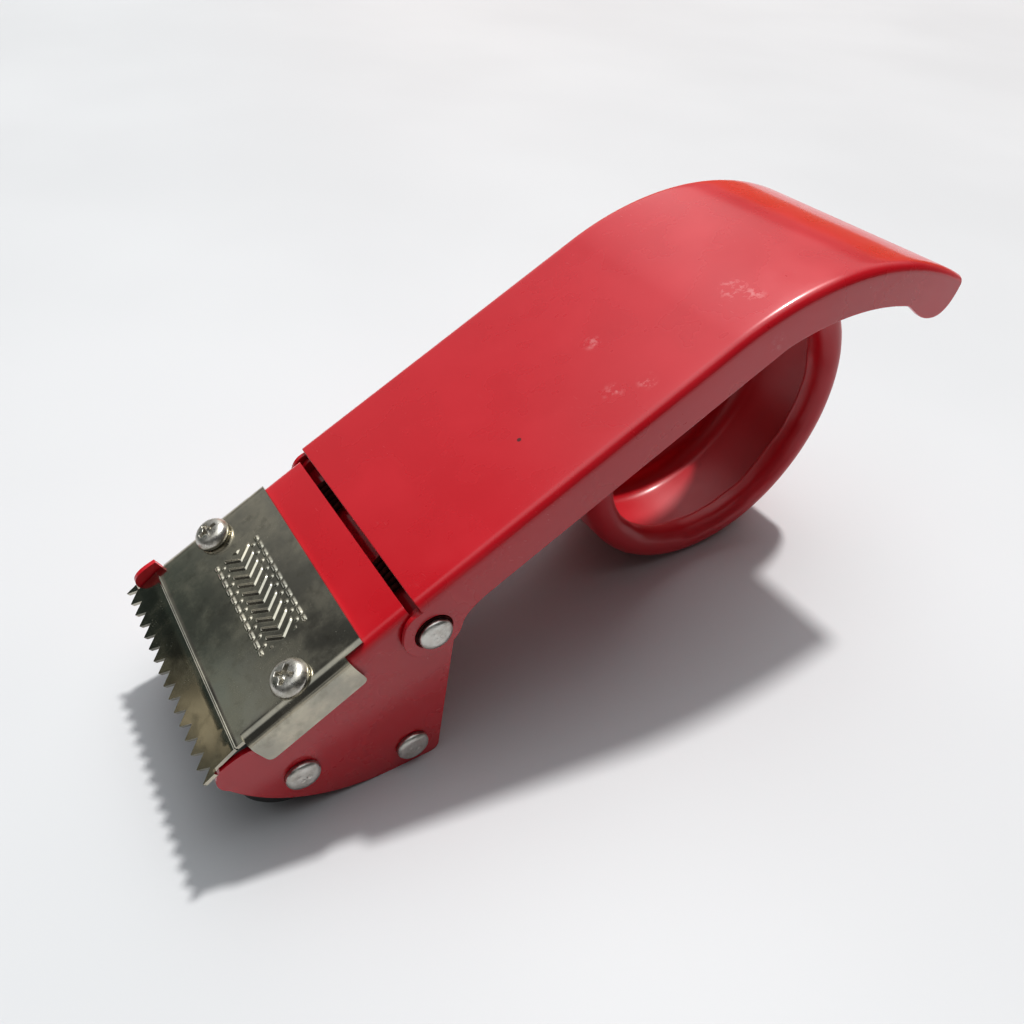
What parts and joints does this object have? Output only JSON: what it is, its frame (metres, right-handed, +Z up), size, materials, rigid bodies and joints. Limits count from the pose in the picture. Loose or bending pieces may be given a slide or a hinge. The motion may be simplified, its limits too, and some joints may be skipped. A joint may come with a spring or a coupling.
{
  "type": "tape gun dispenser",
  "caption": "Hand-held steel tape dispenser with a toothed blade on a folded head, pressing and guide rollers, a core drum on a side plate and a hinged curved handle arm.",
  "frame": {"origin": "on the ground, in the middle of the footprint of the bounding box", "axes": "+X towards the blade's teeth, along the tool's length; +Y towards the open side of the drum, along the axles; +Z up"},
  "size_m": [0.1636, 0.0534, 0.0821],
  "materials": {
    "red_paint": "gloss enamel",
    "nickel": "bright nickel plate",
    "zinc": "zinc plated",
    "dark_steel": "oiled spring steel",
    "core_plastic": "moulded",
    "black_rubber": "ground"
  },
  "bodies": {
    "head": {"frame": "red_paint", "drum": "red_paint", "blade": "nickel", "blade_screw_near": "zinc", "blade_screw_far": "zinc", "pivot_axle": "zinc", "pivot_spacer": "red_paint", "pivot_bush_near": "dark_steel", "pivot_bush_far": "dark_steel", "pivot_spring_near": "dark_steel", "pivot_spring_far": "dark_steel", "front_axle": "zinc", "guide_axle": "zinc", "front_washer_near": "dark_steel", "front_washer_far": "dark_steel", "guide_washer_near": "dark_steel", "guide_washer_far": "dark_steel"},
    "handle": {"handle_arm": "red_paint"},
    "front_roller": {"front_roller_core": "core_plastic", "front_roller_sleeve": "black_rubber"},
    "guide_roller_body": {"guide_roller": "core_plastic"}
  },
  "joints": [
    {"name": "handle_pivot", "type": "hinge", "parent": "head", "child": "handle", "pos_m": [0.04075, 0, 0.0354], "axis": [0, 1, 0], "range_deg": [-3, 11], "stiffness_Nm_per_rad": 0.9, "deforming": ["pivot_spring_near", "pivot_spring_far"]},
    {"name": "front_roller_spin", "type": "hinge", "parent": "head", "child": "front_roller", "pos_m": [0.06615, 0, 0.0118], "axis": [0, 1, 0], "continuous": true},
    {"name": "guide_roller_spin", "type": "hinge", "parent": "head", "child": "guide_roller_body", "pos_m": [0.04515, 0, 0.0054], "axis": [0, 1, 0], "continuous": true}
  ]
}
